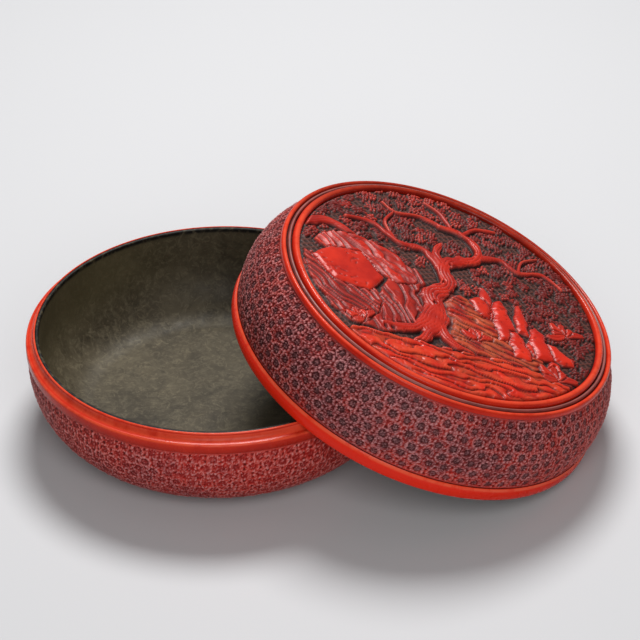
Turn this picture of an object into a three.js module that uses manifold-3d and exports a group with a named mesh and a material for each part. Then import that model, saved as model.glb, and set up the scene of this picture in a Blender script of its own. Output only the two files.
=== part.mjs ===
// Round box of carved red lacquer, open, with its lid leaning on the base.
// Millimetres, +Z up. The origin is on the table, on the base's axis, and +X points to the lid.
import * as THREE from 'three';
import Module from 'manifold-3d';

const wasm = await Module();
wasm.setup();

// Laminate: the carved coat, the wood and the lining, with a bond of cloth and primer between them
const carvedCoat = 1.5;
const bond = 0.3;
const wood = 3.3;
const liningCoat = 0.8;

// Base
const wallRadius = 91.2;
const seatHeight = 48.2;
const bandHeight = 4.8;
const bandRound = 1;
const uprightWall = 6;
const footRadius = 61;
const footWidth = 5;
const footReveal = 1.8;
const undersideDepth = 1.5;
const undersideCoat = 0.6;
const coreBottom = undersideDepth + undersideCoat + bond;

// Mouth flange, let into the core, and the ledge round it
const flangeRise = 3.8;
const flangeDepth = 6.2;
const flangeSocketWood = 1.5;
const flangeRound = 0.7;
const ledgeCoat = 0.8;
const ledgeGap = 0.4;

// Lid
const lidFit = 0.4;
const lidBandHeight = 7.4;
const lidBandCoat = 1.3;
const lidRimInset = 1.1;
const lidBandSwell = 0.3;
const lidLipCoat = 0.5;
const lidWallSwell = 2.4;
const mouthRebate = 5.6;
const shoulderInset = 8.1;
const shoulderHeight = 42.8;
const shoulderSlant = 1.35;
const lidTopWood = 3.6;
const ceilingCove = 3.3;
const lean = THREE.MathUtils.degToRad(22.2);
const leanGap = 0.3;

// Mouldings and ground of the lid's top
const shoulderBeadWidth = 2.5;
const shoulderBeadHeight = 2.3;
const grooveWidth = 2.6;
const grooveCoat = 1.1;
const ridgeHeight = 2.4;
const groundCoat = 1.3;
const panelBeadWidth = 3.4;
const panelBeadHeight = 2.5;
const pictureMargin = 0.6;

// Height of the picture's levels above its ground, and how each kind of carving draws in at its top
const lowRelief = 1.5;
const midRelief = 2.1;
const highRelief = 2.7;
const limbTop = 0.5;
const padLobes = 7;
const padTop = 0.8;
const padScallop = 0.1;
const rockDraw = 0.06;
const bankTop = 0.98;
const bankBevel = 0.035;

// Diaper of the two walls: lozenges sunk in the middle, larger than the real flowers to keep the faces few
const lozengesRound = 36;
const lozengeRows = 7;
const lozengeDepth = 0.7;

// Facets round the axis, along each curved profile and in the picture's outlines
const sides = 36;
const curveSteps = 5;
const beadSteps = 4;
const limbSteps = 5;
const ledgeSteps = 3;
const lobeSteps = 3;
const bankSteps = 10;

const vermilion = { color: 0xb3261a, roughness: 0.34, metalness: 0 };
const carvedRed = { color: 0x7c2420, roughness: 0.5, metalness: 0 };
const darkLacquer = { color: 0x35302a, roughness: 0.38, metalness: 0 };
const groundBrown = { color: 0x3a2724, roughness: 0.62, metalness: 0 };
const coreWood = { color: 0xa98257, roughness: 0.75, metalness: 0 };

function addMesh(group, name, geometry, finish) {
  const mesh = new THREE.Mesh(geometry, new THREE.MeshStandardMaterial(finish));
  mesh.name = name;
  group.add(mesh);
}

// A solid of revolution about Z. The profile runs counter-clockwise in (radius, height).
function revolve(profile) {
  const points = profile.map(([radius, height]) => new THREE.Vector2(radius, height));
  if (points[0].x > 0) points.push(points[0].clone());
  const geometry = new THREE.LatheGeometry(points, sides);
  return geometry.rotateX(Math.PI / 2);
}

function sample(curve, steps = curveSteps) {
  return curve.getPoints(steps).map((point) => [point.x, point.y]);
}

// A ring whose face, given plain and sunk, is a net of lozenges. Its ridges join the points left plain.
function diaperWall(face, sunk, back) {
  const columns = 2 * lozengesRound;
  const rows = face.length + back.length;
  const isSunk = (i, j) => j > 0 && j < face.length - 1 && (i + j) % 2 === 1;
  const positions = [];
  const triangles = [];
  for (let i = 0; i < columns; i += 1) {
    const turn = (i / columns) * Math.PI * 2;
    const profile = [...face.map((point, j) => (isSunk(i, j) ? sunk[j] : point)), ...back];
    profile.forEach(([radius, height]) => {
      positions.push(radius * Math.cos(turn), radius * Math.sin(turn), height);
    });
    for (let j = 0; j < rows; j += 1) {
      const here = i * rows + j;
      const above = i * rows + ((j + 1) % rows);
      const beside = ((i + 1) % columns) * rows + j;
      const across = ((i + 1) % columns) * rows + ((j + 1) % rows);
      if ((i + j) % 2 === 1) triangles.push(here, beside, above, beside, across, above);
      else triangles.push(here, beside, across, here, across, above);
    }
  }
  const geometry = new THREE.BufferGeometry();
  geometry.setAttribute('position', new THREE.Float32BufferAttribute(positions, 3));
  geometry.setIndex(triangles);
  return geometry;
}

// Radii of the layers, inward from the carved surface
const coreSkin = carvedCoat + bond;
const coreInside = coreSkin + wood;
const liningBack = coreInside + bond;
const liningFace = liningBack + liningCoat;

// Base: the wall is upright under the band, then a quarter ellipse down to the foot
const bandBottom = seatHeight - bandHeight;
const bulgeHeight = bandBottom - uprightWall;

function baseWall(depth, steps) {
  const across = wallRadius - footRadius - depth;
  const down = bulgeHeight - footReveal - depth;
  const curve = new THREE.EllipseCurve(footRadius, bulgeHeight, across, down, -Math.PI / 2, 0);
  return sample(curve, steps);
}

const base = new THREE.Group();

const socketRadius = wallRadius - coreSkin - flangeSocketWood;
const flangeRadius = socketRadius - bond;
const flangeInside = wallRadius - coreInside;
const flangeBottom = seatHeight - flangeDepth;
const flangeCrest = seatHeight + flangeRise;
const crestRadius = (flangeRadius + flangeInside) / 2;
const coreTop = seatHeight - ledgeCoat - bond;
const coreFloor = baseWall(coreInside)[0][1];

addMesh(base, 'base_core', revolve([
  [0, coreBottom],
  [footRadius - bond, coreBottom],
  ...baseWall(coreSkin),
  [wallRadius - coreSkin, coreTop],
  [socketRadius, coreTop],
  [socketRadius, flangeBottom - bond],
  [flangeInside, flangeBottom - bond],
  ...baseWall(coreInside).reverse(),
  [0, coreFloor],
]), coreWood);

addMesh(base, 'base_side_lacquer', diaperWall(
  [...baseWall(0, lozengeRows), [wallRadius, bandBottom - bond]],
  baseWall(lozengeDepth, lozengeRows),
  [[wallRadius - carvedCoat, bandBottom - bond], ...baseWall(carvedCoat).reverse()],
), carvedRed);

// The band is a collar with a rounded edge and the ledge on top
const edgeTrim = bandRound * (1 - Math.SQRT1_2);
addMesh(base, 'base_rim_band', revolve([
  [wallRadius - carvedCoat, bandBottom],
  [wallRadius, bandBottom],
  [wallRadius, seatHeight - bandRound],
  [wallRadius - edgeTrim, seatHeight - edgeTrim],
  [wallRadius - bandRound, seatHeight],
  [flangeRadius + ledgeGap, seatHeight],
  [flangeRadius + ledgeGap, seatHeight - ledgeCoat],
  [wallRadius - carvedCoat, seatHeight - ledgeCoat],
]), vermilion);

addMesh(base, 'base_mouth_flange', revolve([
  [flangeInside, flangeBottom],
  [flangeRadius, flangeBottom],
  [flangeRadius, flangeCrest - flangeRound],
  [crestRadius, flangeCrest],
  [flangeInside, flangeCrest - flangeRound],
]), vermilion);

const liningTop = flangeCrest - flangeRound;
addMesh(base, 'base_lining', revolve([
  [0, baseWall(liningBack)[0][1]],
  ...baseWall(liningBack),
  [wallRadius - liningBack, liningTop],
  [wallRadius - liningFace, liningTop - liningCoat / 2],
  ...baseWall(liningFace).reverse(),
  [0, baseWall(liningFace)[0][1]],
]), darkLacquer);

const footOuter = footRadius - bond;
const footInner = footOuter - footWidth;
addMesh(base, 'base_foot_ring', revolve([
  [footInner, 0],
  [footOuter, 0],
  [footOuter, coreBottom - bond],
  [footInner, coreBottom - bond],
]), darkLacquer);

addMesh(base, 'base_underside_lacquer', revolve([
  [0, undersideDepth],
  [footInner - bond, undersideDepth],
  [footInner - bond, undersideDepth + undersideCoat],
  [0, undersideDepth + undersideCoat],
]), darkLacquer);

// Lid, drawn upright with its rim on the plane z = 0
const lidMouth = flangeRadius + lidFit;
const lidWallBottom = lidBandHeight + bond;
const shoulderRadius = wallRadius - shoulderInset;
const lidWallHeight = shoulderHeight - lidWallBottom;
const lowHandle = { out: 0.8, up: 0.27 };
const highHandle = { out: 1.2, up: 0.6 };

// The wall swells above the band and leans in to the shoulder
function lidWall(depth, steps) {
  const swollen = ({ out, up }) => new THREE.Vector2(
    wallRadius - depth + lidWallSwell * out,
    lidWallBottom + lidWallHeight * up,
  );
  return sample(new THREE.CubicBezierCurve(
    swollen({ out: 0, up: 0 }),
    swollen(lowHandle),
    swollen(highHandle),
    new THREE.Vector2(shoulderRadius - depth * shoulderSlant, shoulderHeight),
  ), steps);
}

const lidCeiling = shoulderHeight - lidTopWood;
const liningCeiling = lidCeiling - bond;
const coveFoot = liningCeiling - liningCoat - ceilingCove;

// The same wall from inside, with a cove up to the ceiling. Every layer leaves the wall below the same height.
function lidInside(depth, ceiling) {
  const wall = lidWall(depth).filter(([, height]) => height < coveFoot);
  const [coveRadius] = wall.at(-1);
  return [...wall, [coveRadius - ceilingCove, ceiling]];
}

const lid = new THREE.Group();

const lidBandInner = wallRadius - lidBandCoat;
const lidRimRadius = wallRadius - lidRimInset;
const lidCoreBottom = lidLipCoat + bond;
const lidLiningBottom = mouthRebate + bond;

addMesh(lid, 'lid_core', revolve([
  [0, lidCeiling],
  ...lidInside(coreInside, lidCeiling).reverse(),
  [wallRadius - coreInside, mouthRebate],
  [lidMouth, mouthRebate],
  [lidMouth, lidCoreBottom],
  [lidBandInner - bond, lidCoreBottom],
  [lidBandInner - bond, lidBandHeight],
  ...lidWall(coreSkin),
  [0, shoulderHeight],
]), coreWood);

addMesh(lid, 'lid_side_lacquer', diaperWall(
  lidWall(0, lozengeRows),
  lidWall(lozengeDepth, lozengeRows),
  lidWall(carvedCoat).reverse(),
), carvedRed);

addMesh(lid, 'lid_rim_band', revolve([
  [lidMouth, 0],
  [lidRimRadius, 0],
  [wallRadius, lidBandHeight / 4],
  [wallRadius + lidBandSwell, lidBandHeight / 2],
  [wallRadius, lidBandHeight],
  [lidBandInner, lidBandHeight],
  [lidBandInner, lidLipCoat],
  [lidMouth, lidLipCoat],
]), vermilion);

addMesh(lid, 'lid_lining', revolve([
  [0, liningCeiling - liningCoat],
  ...lidInside(liningFace, liningCeiling - liningCoat).reverse(),
  [wallRadius - liningFace, lidLiningBottom],
  [wallRadius - liningBack, lidLiningBottom],
  ...lidInside(liningBack, liningCeiling),
  [0, liningCeiling],
]), darkLacquer);

// A half-round ring
function bead(inner, outer, bottom, height) {
  const middle = (inner + outer) / 2;
  const arch = new THREE.EllipseCurve(middle, bottom, outer - middle, height, 0, Math.PI);
  return revolve(sample(arch, beadSteps));
}

const topSeat = shoulderHeight + bond;
const shoulderBeadInner = shoulderRadius - shoulderBeadWidth;
addMesh(lid, 'lid_shoulder_bead',
  bead(shoulderBeadInner, shoulderRadius, topSeat, shoulderBeadHeight), vermilion);

const groundRadius = shoulderBeadInner - bond;
const panelBeadOuter = shoulderBeadInner - grooveWidth;
const panelBeadInner = panelBeadOuter - panelBeadWidth;
const groundTop = topSeat + groundCoat;
const ridgeFoot = panelBeadOuter + bond;
addMesh(lid, 'lid_top_ground', revolve([
  [0, topSeat],
  [groundRadius, topSeat],
  [groundRadius, topSeat + grooveCoat],
  [(groundRadius + ridgeFoot) / 2, topSeat + ridgeHeight],
  [ridgeFoot, groundTop],
  [0, groundTop],
]), groundBrown);

const reliefSeat = groundTop + bond;
addMesh(lid, 'lid_panel_bead',
  bead(panelBeadInner, panelBeadOuter, reliefSeat, panelBeadHeight), vermilion);

// Picture: islands of red lacquer left standing on the ground.
// Places are shares of the picture's radius, which follows the frame.
const pictureRadius = panelBeadInner - pictureMargin;

function place([x, y]) {
  return new THREE.Vector2(x, y).multiplyScalar(pictureRadius);
}

// A solid between two outlines with as many points, wider at its foot as carving leaves it
function carve(footOutline, topOutline, height) {
  const count = footOutline.length;
  const positions = [];
  footOutline.forEach((point) => positions.push(point.x, point.y, reliefSeat));
  topOutline.forEach((point) => positions.push(point.x, point.y, reliefSeat + height));
  const triangles = [];
  THREE.ShapeUtils.triangulateShape(footOutline, []).forEach(([a, b, c]) => triangles.push(a, c, b));
  THREE.ShapeUtils.triangulateShape(topOutline, [])
    .forEach(([a, b, c]) => triangles.push(count + a, count + b, count + c));
  for (let i = 0; i < count; i += 1) {
    const next = (i + 1) % count;
    triangles.push(i, next, count + next, i, count + next, count + i);
  }
  return new wasm.Manifold(new wasm.Mesh({
    numProp: 3,
    vertProperties: new Float32Array(positions),
    triVerts: new Uint32Array(triangles),
  }));
}

function geometryOf(solid) {
  const { vertProperties, triVerts } = solid.getMesh();
  const geometry = new THREE.BufferGeometry();
  geometry.setAttribute('position', new THREE.BufferAttribute(new Float32Array(vertProperties), 3));
  geometry.setIndex(new THREE.BufferAttribute(new Uint32Array(triVerts), 1));
  return geometry;
}

function joined(solids) {
  return geometryOf(solids.reduce((whole, solid) => whole.add(solid)));
}

// A tapering limb along a smooth line through a few places
function limb(places, widthAtFoot, widthAtTip, height, steps = limbSteps) {
  const line = new THREE.SplineCurve(places.map(place));
  const outline = (share) => {
    const left = [];
    const right = [];
    for (let i = 0; i <= steps; i += 1) {
      const along = i / steps;
      const width = THREE.MathUtils.lerp(widthAtFoot, widthAtTip, along) * pictureRadius * share;
      const point = line.getPoint(along);
      const tangent = line.getTangent(along);
      const across = new THREE.Vector2(-tangent.y, tangent.x).multiplyScalar(width / 2);
      right.push(point.clone().sub(across));
      left.unshift(point.clone().add(across));
    }
    return [...right, ...left];
  };
  return carve(outline(1), outline(limbTop), height);
}

// A pad of foliage with a scalloped edge
function pad([x, y], width, height) {
  const centre = place([x, y]);
  const count = padLobes * lobeSteps;
  const outline = (share) => Array.from({ length: count }, (_, i) => {
    const turn = (i / count) * Math.PI * 2;
    const reach = share * pictureRadius * (1 + padScallop * Math.cos(turn * padLobes));
    const spot = new THREE.Vector2(Math.cos(turn) * width, Math.sin(turn) * height);
    return spot.multiplyScalar(reach).add(centre);
  });
  return carve(outline(1), outline(padTop), lowRelief);
}

// A faceted rock from a few corners, drawn in towards its middle at the top
function rock(corners, height) {
  const foot = corners.map(place);
  const middle = foot.reduce((sum, point) => sum.add(point), new THREE.Vector2());
  middle.divideScalar(foot.length);
  return carve(foot, foot.map((point) => point.clone().lerp(middle, rockDraw)), height);
}

const trunkSteps = 12;
addMesh(lid, 'lid_relief_tree', joined([
  limb([[-0.1, -0.48], [-0.06, -0.3], [-0.12, -0.12], [-0.02, 0.06], [-0.06, 0.24], [0.04, 0.38]],
    0.16, 0.09, highRelief, trunkSteps),
  limb([[0.02, 0.34], [0.15, 0.46], [0.14, 0.6], [0.02, 0.68], [-0.12, 0.67]], 0.085, 0.05, highRelief),
  limb([[-0.04, 0.2], [-0.12, 0.34], [-0.1, 0.47]], 0.08, 0.05, highRelief),
  limb([[-0.1, -0.42], [-0.2, -0.5], [-0.32, -0.52]], 0.085, 0.03, midRelief),
  limb([[-0.09, -0.42], [-0.08, -0.5], [-0.12, -0.57]], 0.085, 0.04, midRelief),
  limb([[-0.07, -0.4], [0.03, -0.48], [0.12, -0.5]], 0.08, 0.03, midRelief),
  limb([[-0.06, 0.2], [-0.2, 0.34], [-0.38, 0.32], [-0.56, 0.42], [-0.74, 0.38]], 0.075, 0.03, midRelief),
  limb([[0.14, 0.47], [0.3, 0.56], [0.44, 0.5], [0.6, 0.58], [0.74, 0.5]], 0.065, 0.03, midRelief),
  limb([[0.04, 0.68], [0.12, 0.8], [0.26, 0.86]], 0.055, 0.03, midRelief),
  limb([[-0.1, 0.68], [-0.26, 0.7], [-0.42, 0.66]], 0.05, 0.03, midRelief),
  pad([-0.64, 0.44], 0.2, 0.14),
  pad([-0.4, 0.5], 0.18, 0.12),
  pad([-0.4, 0.7], 0.16, 0.1),
  pad([-0.14, 0.8], 0.2, 0.1),
  pad([0.22, 0.78], 0.2, 0.1),
  pad([0.5, 0.6], 0.18, 0.12),
  pad([0.68, 0.43], 0.15, 0.13),
]), vermilion);

// A bed of ledges side by side, from a first line to a last one
function ledges(first, last, count, width, height) {
  return Array.from({ length: count }, (_, i) => {
    const share = i / (count - 1);
    const places = first.map((point, j) => point.map((value, axis) => (
      THREE.MathUtils.lerp(value, last[j][axis], share))));
    return limb(places, width, width, height, ledgeSteps);
  });
}

addMesh(lid, 'lid_relief_boulder', joined([
  rock([[-0.9, -0.22], [-0.78, -0.36], [-0.54, -0.4], [-0.44, -0.17], [-0.6, 0.04], [-0.78, 0]],
    highRelief),
  ...ledges([[-0.84, 0.04], [-0.7, 0.16], [-0.5, 0.17], [-0.28, 0.06]],
    [[-0.8, -0.02], [-0.62, 0.06], [-0.48, 0], [-0.36, -0.14]], 3, 0.08, midRelief),
  ...ledges([[-0.4, -0.02], [-0.42, -0.16], [-0.5, -0.34], [-0.62, -0.46]],
    [[-0.3, -0.05], [-0.3, -0.19], [-0.36, -0.34], [-0.48, -0.46]], 2, 0.11, midRelief),
]), vermilion);

// The bank: three waves of ground, each lower one standing higher
const bankEndGap = 0.06;
const waveNumber = 7;

function bankWave(crest, swing, phase, height) {
  const reach = Math.sqrt(1 - crest * crest) - bankEndGap;
  const across = Array.from({ length: bankSteps + 1 }, (_, i) => reach * (1 - (2 * i) / bankSteps));
  const top = across.map((x) => [x, crest + swing * Math.sin(x * waveNumber + phase)]);
  const edge = across.slice(1, -1).reverse().map((x) => [x, -Math.sqrt(1 - x * x)]);
  const topInside = top.map(([x, y]) => [x * bankTop, y - bankBevel]);
  const edgeInside = edge.map(([x, y]) => [x * bankTop, y * bankTop]);
  return carve([...top, ...edge].map(place), [...topInside, ...edgeInside].map(place), height);
}

addMesh(lid, 'lid_relief_bank', joined([
  bankWave(-0.66, 0.03, 0.4, lowRelief),
  bankWave(-0.75, 0.035, 2.2, midRelief),
  bankWave(-0.84, 0.03, 4, highRelief),
]), vermilion);

// The slope: ledges falling to the right on a low sheet, with standing stones at their head
addMesh(lid, 'lid_relief_slope', joined([
  rock([[0.08, -0.1], [0.1, -0.3], [0.22, -0.44], [0.42, -0.54], [0.58, -0.5], [0.64, -0.36], [0.3, -0.18]],
    lowRelief),
  ...ledges([[0.12, -0.14], [0.32, -0.24], [0.58, -0.36]], [[0.16, -0.34], [0.3, -0.42], [0.48, -0.5]],
    3, 0.08, midRelief),
  ...ledges([[0.3, -0.24], [0.29, -0.02], [0.35, 0.18]], [[0.42, -0.28], [0.42, -0.06], [0.43, 0.14]],
    2, 0.1, highRelief),
  ...ledges([[0.5, -0.34], [0.51, -0.12], [0.57, 0.09]], [[0.6, -0.38], [0.61, -0.18], [0.66, -0.02]],
    2, 0.1, highRelief),
]), vermilion);

// The shrub: broad leaves fanned about one foot, every other one higher
const shrubLeaves = 5;
const shrubFoot = [0.8, -0.02];
const fanStart = 0.2;
const fanTurn = 2;
const leafLength = 0.16;
addMesh(lid, 'lid_relief_shrub', joined(Array.from({ length: shrubLeaves }, (_, i) => {
  const turn = fanStart + (i * fanTurn) / (shrubLeaves - 1);
  const reach = (share) => [
    shrubFoot[0] + leafLength * share * Math.cos(turn),
    shrubFoot[1] + leafLength * share * Math.sin(turn),
  ];
  return limb([shrubFoot, reach(0.5), reach(1)], 0.07, 0.03, i % 2 ? lowRelief : midRelief);
})), vermilion);

// The lid leans with its rim on the flange's crest, inside the mouth, and its far edge on the table
const rimDrop = lidRimRadius * Math.sin(lean);
const crestAboveRim = flangeCrest + leanGap - rimDrop;
const alongRim = crestAboveRim / Math.sin(lean);
const touchX = Math.sqrt(alongRim ** 2 + crestRadius ** 2 - lidMouth ** 2);
lid.rotation.y = lean;
lid.position.set(touchX + crestAboveRim / Math.tan(lean), 0, rimDrop);

const box = new THREE.Group();
box.add(base, lid);

export default box;
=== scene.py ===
"""Looks of the carved lacquer box: carved walls, carved picture, mouldings, linings, and the studio."""
import math

import bpy
import numpy as np
from mathutils import Matrix, Vector
from mathutils.kdtree import KDTree


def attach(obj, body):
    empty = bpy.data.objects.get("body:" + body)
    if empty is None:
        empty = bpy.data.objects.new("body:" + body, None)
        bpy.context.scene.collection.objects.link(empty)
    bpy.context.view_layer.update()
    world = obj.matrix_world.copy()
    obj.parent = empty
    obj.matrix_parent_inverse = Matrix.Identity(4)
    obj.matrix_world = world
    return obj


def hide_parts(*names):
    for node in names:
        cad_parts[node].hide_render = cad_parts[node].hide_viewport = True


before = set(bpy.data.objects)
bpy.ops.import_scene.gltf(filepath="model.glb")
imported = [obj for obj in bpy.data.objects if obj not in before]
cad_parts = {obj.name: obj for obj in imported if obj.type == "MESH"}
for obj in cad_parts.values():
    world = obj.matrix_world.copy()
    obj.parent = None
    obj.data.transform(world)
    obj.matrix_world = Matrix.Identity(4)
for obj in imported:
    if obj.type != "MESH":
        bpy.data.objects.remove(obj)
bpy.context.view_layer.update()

# Sizes in millimetres, as in the part's source
MM = 0.001
CARVED_COAT = 1.5
BOND = 0.3
WOOD = 3.3
LINING_COAT = 0.8
WALL_RADIUS = 91.2
SEAT_HEIGHT = 48.2
BAND_HEIGHT = 4.8
UPRIGHT_WALL = 6
FOOT_RADIUS = 61
FOOT_WIDTH = 5
FOOT_REVEAL = 1.8
UNDERSIDE_DEPTH = 1.5
UNDERSIDE_COAT = 0.6
FLANGE_RISE = 3.8
FLANGE_DEPTH = 6.2
FLANGE_SOCKET_WOOD = 1.5
LEDGE_COAT = 0.8
LID_FIT = 0.4
LID_BAND_HEIGHT = 7.4
LID_BAND_COAT = 1.3
LID_RIM_INSET = 1.1
LID_BAND_SWELL = 0.3
LID_LIP_COAT = 0.5
LID_WALL_SWELL = 2.4
MOUTH_REBATE = 5.6
SHOULDER_INSET = 8.1
SHOULDER_HEIGHT = 42.8
SHOULDER_SLANT = 1.35
LID_TOP_WOOD = 3.6
CEILING_COVE = 3.3
LEAN = math.radians(22.2)
LEAN_GAP = 0.3
SHOULDER_BEAD_WIDTH = 2.5
SHOULDER_BEAD_HEIGHT = 2.3
GROOVE_WIDTH = 2.6
RIDGE_HEIGHT = 2.4
GROUND_COAT = 1.3
PANEL_BEAD_WIDTH = 3.4
PANEL_BEAD_HEIGHT = 2.5
HIGH_RELIEF = 2.7

# Places that follow from the sizes
CORE_INSIDE = CARVED_COAT + BOND + WOOD
LINING_BACK = CORE_INSIDE + BOND
LINING_FACE = LINING_BACK + LINING_COAT
BAND_BOTTOM = SEAT_HEIGHT - BAND_HEIGHT
BULGE_HEIGHT = BAND_BOTTOM - UPRIGHT_WALL
FLANGE_RADIUS = WALL_RADIUS - CARVED_COAT - BOND - FLANGE_SOCKET_WOOD - BOND
FLANGE_INSIDE = WALL_RADIUS - CORE_INSIDE
FLANGE_BOTTOM = SEAT_HEIGHT - FLANGE_DEPTH
FLANGE_CREST = SEAT_HEIGHT + FLANGE_RISE
CREST_RADIUS = (FLANGE_RADIUS + FLANGE_INSIDE) / 2
FOOT_TOP = UNDERSIDE_DEPTH + UNDERSIDE_COAT
FOOT_OUTER = FOOT_RADIUS - BOND
FOOT_INNER = FOOT_OUTER - FOOT_WIDTH
LID_MOUTH = FLANGE_RADIUS + LID_FIT
LID_WALL_BOTTOM = LID_BAND_HEIGHT + BOND
LID_RIM_RADIUS = WALL_RADIUS - LID_RIM_INSET
LID_CEILING = SHOULDER_HEIGHT - LID_TOP_WOOD - BOND
SHOULDER_RADIUS = WALL_RADIUS - SHOULDER_INSET
TOP_SEAT = SHOULDER_HEIGHT + BOND
SHOULDER_BEAD_INNER = SHOULDER_RADIUS - SHOULDER_BEAD_WIDTH
PANEL_BEAD_OUTER = SHOULDER_BEAD_INNER - GROOVE_WIDTH
PANEL_BEAD_INNER = PANEL_BEAD_OUTER - PANEL_BEAD_WIDTH
GROUND_TOP = TOP_SEAT + GROUND_COAT
RELIEF_SEAT = GROUND_TOP + BOND
PICTURE_RADIUS = PANEL_BEAD_INNER + 0.2

# Grids of the meshes. PICTURE_POINTS is even, so that no point falls on the picture's centre.
FULL_TURN = 2 * math.pi
SEGMENTS = 240
SHARP_DEGREES = 50
CELL_COLUMNS = 14
WALL_ROWS = 80
PICTURE_POINTS = 312

# The flowers of the walls, in cells, and how deep they are cut and lie under the profile, in millimetres
CELLS_ROUND = 81
ROW_PITCH = 0.76
JITTER = 0.04
HEART_RADIUS = 0.22
RIM_RADIUS = 0.41
CUT = 0.9
SINK = 0.32

# The picture's carving, in millimetres
LOWEST = 0.05
LOZENGE = 4.6
LEAF_SPACING = 4.8
LEAF_RINGS = ((0.0, 1), (1.55, 6), (2.95, 10))

# Studio, in metres and watts
FLOOR_REACH = 4
FLOOR_COLOUR = (0.54, 0.54, 0.55, 1)
FLOOR_ROUGHNESS = 0.8
AIR_STRENGTH = 0.16
LAMP_AIM = Vector((0.05, 0, 0.04))
LAMPS = (("key", (0.0, 0.5, 1.1), 0.5, 16.5), ("fill", (0.2, -1.0, 0.8), 0.9, 8))
CAMERA_PLACE = (0.15107, -1.01504, 0.7431)
CAMERA_AIM = (-0.084, 0.8256, -0.558)
CAMERA_ROLL = -0.005
LENS_MM = 147.52
SENSOR_MM = 36


def lid_place():
    """Where the lid's own frame stands: its rim on the flange and its far edge on the table."""
    rim_drop = LID_RIM_RADIUS * math.sin(LEAN)
    crest_above_rim = FLANGE_CREST + LEAN_GAP - rim_drop
    along_rim = crest_above_rim / math.sin(LEAN)
    touch_x = math.sqrt(along_rim ** 2 + CREST_RADIUS ** 2 - LID_MOUTH ** 2)
    spot = Vector((touch_x + crest_above_rim / math.tan(LEAN), 0, rim_drop)) * MM
    return Matrix.Translation(spot) @ Matrix.Rotation(LEAN, 4, "Y")


# Numbers on grids

def smooth(low, high, value):
    """0 below low, 1 above high, and a smooth step between them."""
    share = np.clip((value - low) / (high - low), 0, 1)
    return share * share * (3 - 2 * share)


def bell(value, width):
    """1 at zero, falling away on both sides within about the width."""
    return np.exp(-(value / width) ** 2)


def patchy(x, y, pitch, seed):
    """Soft random patches from 0 to 1, about pitch wide."""
    size = 64
    table = np.random.default_rng(seed).random((size, size))
    u, v = x / pitch, y / pitch
    i, j = np.floor(u).astype(int), np.floor(v).astype(int)
    s, t = smooth(0, 1, u - i), smooth(0, 1, v - j)

    def corner(a, b):
        return table[(i + a) % size, (j + b) % size]

    low = corner(0, 0) * (1 - s) + corner(1, 0) * s
    high = corner(0, 1) * (1 - s) + corner(1, 1) * s
    return low * (1 - t) + high * t


def rough_patches(x, y, pitch, seed):
    """Patches with finer patches on them."""
    return (patchy(x, y, pitch, seed) * 0.6 + patchy(x, y, pitch / 2.1, seed + 1) * 0.28
            + patchy(x, y, pitch / 4.3, seed + 2) * 0.12)


def blurred(field, reach, wrap=(False, False)):
    """Mean of a grid over a square of 2 * reach + 1 cells; wrap says which axes close on themselves."""
    width = 2 * reach + 1
    for axis, closed in enumerate(wrap):
        padding = [(0, 0), (0, 0)]
        padding[axis] = (reach + 1, reach)
        total = np.cumsum(np.pad(field, padding, mode="wrap" if closed else "edge"), axis=axis)
        total = np.moveaxis(total, axis, 0)
        field = np.moveaxis((total[width:] - total[:-width]) / width, 0, axis)
    return field


def spline(places, steps, closed=False):
    """A smooth line through the places."""
    points = np.array(places, float)
    count = len(points)
    line = []
    for i in range(count if closed else count - 1):
        marks = np.arange(i - 1, i + 3)
        a, b, c, d = points[marks % count if closed else np.clip(marks, 0, count - 1)]
        for t in np.arange(steps) / steps:
            line.append(0.5 * (2 * b + (c - a) * t + (2 * a - 5 * b + 4 * c - d) * t ** 2
                               + (3 * b - a - 3 * c + d) * t ** 3))
    return np.array(line if closed else line + [points[-1]])


# Meshes

def grid_faces(rows, columns, close_rows=False, close_columns=False):
    """Quads of a grid of points, which may close on itself."""
    row, column = np.indices((rows - 1 + close_rows, columns - 1 + close_columns)).reshape(2, -1)
    low, high = row * columns, (row + 1) % rows * columns
    after = (column + 1) % columns
    return np.stack([low + column, low + after, high + after, high + column], axis=1)


def add_piece(name, body, nodes, material, points, faces, values, sharp=None):
    """A mesh piece from points in millimetres, in the frame of its body's own part."""
    mesh = bpy.data.meshes.new(name)
    mesh.from_pydata((points * MM).tolist(), [], faces)
    if body == "lid":
        mesh.transform(lid_place())
    for key, numbers in values.items():
        layer = mesh.attributes.new(key, "FLOAT", "POINT")
        layer.data.foreach_set("value", np.asarray(numbers, np.float32).ravel())
    mesh.polygons.foreach_set("use_smooth", np.ones(len(mesh.polygons), bool))
    if sharp:
        mesh.set_sharp_from_angle(angle=math.radians(sharp))
    mesh.materials.append(material)
    piece = bpy.data.objects.new(name, mesh)
    bpy.context.scene.collection.objects.link(piece)
    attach(piece, body)
    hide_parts(*nodes)
    return piece


def bake_map(piece, corners):
    """Gives a piece its map for the bake: one place for each face corner."""
    layer = piece.data.uv_layers.new(name="OFBake")
    layer.data.foreach_set("uv", np.asarray(corners, np.float32).ravel())


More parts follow.
